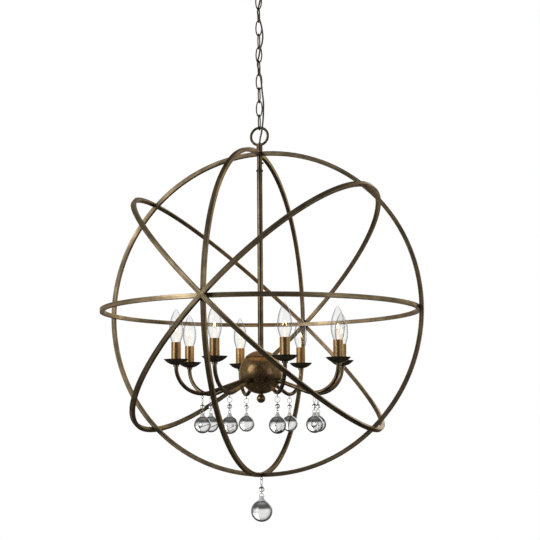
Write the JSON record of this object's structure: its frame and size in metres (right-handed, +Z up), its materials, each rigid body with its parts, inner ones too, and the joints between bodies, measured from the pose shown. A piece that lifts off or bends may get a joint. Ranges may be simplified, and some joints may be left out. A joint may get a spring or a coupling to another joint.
{
  "type": "orb chandelier",
  "caption": "Open orb of square-bar rings on a chain, with candle arms inside it and hanging crystal balls; lights a hall or a dining table.",
  "frame": {"origin": "on the ceiling, at the middle of the crossbar's upper face, between its two screw holes", "axes": "+Z up along the chain; X along the crossbar and in the facing ring's plane; -Y is the front, where the tilted rings cross"},
  "size_m": [0.7494, 0.7686, 1.352],
  "materials": {
    "chain_bronze": "dark oil-rubbed bronze, satin",
    "bar_bronze": "antique bronze, brushed by hand, satin",
    "tube_bronze": "antique bronze, satin",
    "dark_bronze": "dark bronze, satin",
    "hub_bronze": "antique bronze, mottled",
    "sleeve_bronze": "antique bronze, half gloss",
    "plated_steel": "zinc plated",
    "cord_jacket": "brown translucent jacket",
    "wire_jacket": "plain",
    "holder_plastic": "moulded",
    "bulb_glass": "clear",
    "crystal": "clear, polished",
    "trim_wire": "silver plated wire"
  },
  "bodies": {
    "ceiling": {"ceiling_crossbar": "plated_steel", "shank_lock_nut": "plated_steel", "canopy": "dark_bronze", "canopy_collar": "dark_bronze", "canopy_loop": "chain_bronze", "supply_cord": "cord_jacket"},
    "chain": {"chain_link_11": "chain_bronze", "chain_link_10": "chain_bronze", "chain_link_09": "chain_bronze", "chain_link_08": "chain_bronze", "chain_link_07": "chain_bronze", "chain_link_06": "chain_bronze", "chain_link_05": "chain_bronze", "chain_link_04": "chain_bronze", "chain_link_03": "chain_bronze", "chain_link_02": "chain_bronze", "chain_link_01": "chain_bronze"},
    "orb": {"arm_1": "tube_bronze", "arm_2": "tube_bronze", "arm_3": "tube_bronze", "arm_4": "tube_bronze", "arm_5": "tube_bronze", "arm_6": "tube_bronze", "arm_7": "tube_bronze", "arm_8": "tube_bronze", "bobeches": "dark_bronze", "candle_covers": "sleeve_bronze", "drop_eyelets": "trim_wire", "facing_ring": "bar_bronze", "falling_ring": "bar_bronze", "hanging_loop": "chain_bronze", "hub_bowl": "hub_bronze", "hub_cap": "dark_bronze", "hub_finial": "hub_bronze", "hub_rod": "plated_steel", "inner_wiring": "wire_jacket", "lamp_holders": "holder_plastic", "level_ring": "bar_bronze", "rising_ring": "bar_bronze", "set_screw": "plated_steel", "side_ring": "bar_bronze", "stem": "tube_bronze", "stem_coupler": "tube_bronze"},
    "drop_1": {"crystal_drop_1": "crystal"},
    "drop_2": {"crystal_drop_2": "crystal"},
    "drop_3": {"crystal_drop_3": "crystal"},
    "drop_4": {"crystal_drop_4": "crystal"},
    "drop_5": {"crystal_drop_5": "crystal"},
    "drop_6": {"crystal_drop_6": "crystal"},
    "drop_7": {"crystal_drop_7": "crystal"},
    "drop_8": {"crystal_drop_8": "crystal"},
    "drop_under_orb": {"orb_drop": "crystal"},
    "lamp_1": {"bulb_1": "bulb_glass"},
    "lamp_2": {"bulb_2": "bulb_glass"},
    "lamp_3": {"bulb_3": "bulb_glass"},
    "lamp_4": {"bulb_4": "bulb_glass"},
    "lamp_5": {"bulb_5": "bulb_glass"},
    "lamp_6": {"bulb_6": "bulb_glass"},
    "lamp_7": {"bulb_7": "bulb_glass"},
    "lamp_8": {"bulb_8": "bulb_glass"}
  },
  "joints": [
    {"name": "chain_swing", "type": "hinge", "parent": "ceiling", "child": "chain", "pos_m": [0, 0, -0.0935], "axis": [1, 0, 0], "range_deg": [-15, 15], "deforming": ["supply_cord"]},
    {"name": "orb_swing", "type": "hinge", "parent": "chain", "child": "orb", "pos_m": [0, 0, -0.4495], "axis": [0, 1, 0], "range_deg": [-15, 15], "deforming": ["supply_cord"]},
    {"name": "drop_1_swing", "type": "hinge", "parent": "orb", "child": "drop_1", "pos_m": [0.07327, -0.11457, -1.0744], "axis": [0.5388, -0.8425, 0], "range_deg": [-25, 25]},
    {"name": "drop_2_swing", "type": "hinge", "parent": "orb", "child": "drop_2", "pos_m": [0.13283, -0.0292, -1.0744], "axis": [0.9767, -0.2147, 0], "range_deg": [-25, 25]},
    {"name": "drop_3_swing", "type": "hinge", "parent": "orb", "child": "drop_3", "pos_m": [0.11457, 0.07327, -1.0744], "axis": [0.8425, 0.5388, 0], "range_deg": [-25, 25]},
    {"name": "drop_4_swing", "type": "hinge", "parent": "orb", "child": "drop_4", "pos_m": [0.0292, 0.13283, -1.0744], "axis": [0.2147, 0.9767, 0], "range_deg": [-25, 25]},
    {"name": "drop_5_swing", "type": "hinge", "parent": "orb", "child": "drop_5", "pos_m": [-0.07327, 0.11457, -1.0744], "axis": [-0.5388, 0.8425, 0], "range_deg": [-25, 25]},
    {"name": "drop_6_swing", "type": "hinge", "parent": "orb", "child": "drop_6", "pos_m": [-0.13283, 0.0292, -1.0744], "axis": [-0.9767, 0.2147, 0], "range_deg": [-25, 25]},
    {"name": "drop_7_swing", "type": "hinge", "parent": "orb", "child": "drop_7", "pos_m": [-0.11457, -0.07327, -1.0744], "axis": [-0.8425, -0.5388, 0], "range_deg": [-25, 25]},
    {"name": "drop_8_swing", "type": "hinge", "parent": "orb", "child": "drop_8", "pos_m": [-0.0292, -0.13283, -1.0744], "axis": [-0.2147, -0.9767, 0], "range_deg": [-25, 25]},
    {"name": "drop_under_orb_swing", "type": "hinge", "parent": "orb", "child": "drop_under_orb", "pos_m": [0, 0, -1.2585], "axis": [1, 0, 0], "range_deg": [-25, 25]},
    {"name": "lamp_1_out", "type": "slide", "parent": "orb", "child": "lamp_1", "axis": [0, 0, 1], "range_m": [0, 0.06]},
    {"name": "lamp_2_out", "type": "slide", "parent": "orb", "child": "lamp_2", "axis": [0, 0, 1], "range_m": [0, 0.06]},
    {"name": "lamp_3_out", "type": "slide", "parent": "orb", "child": "lamp_3", "axis": [0, 0, 1], "range_m": [0, 0.06]},
    {"name": "lamp_4_out", "type": "slide", "parent": "orb", "child": "lamp_4", "axis": [0, 0, 1], "range_m": [0, 0.06]},
    {"name": "lamp_5_out", "type": "slide", "parent": "orb", "child": "lamp_5", "axis": [0, 0, 1], "range_m": [0, 0.06]},
    {"name": "lamp_6_out", "type": "slide", "parent": "orb", "child": "lamp_6", "axis": [0, 0, 1], "range_m": [0, 0.06]},
    {"name": "lamp_7_out", "type": "slide", "parent": "orb", "child": "lamp_7", "axis": [0, 0, 1], "range_m": [0, 0.06]},
    {"name": "lamp_8_out", "type": "slide", "parent": "orb", "child": "lamp_8", "axis": [0, 0, 1], "range_m": [0, 0.06]}
  ]
}
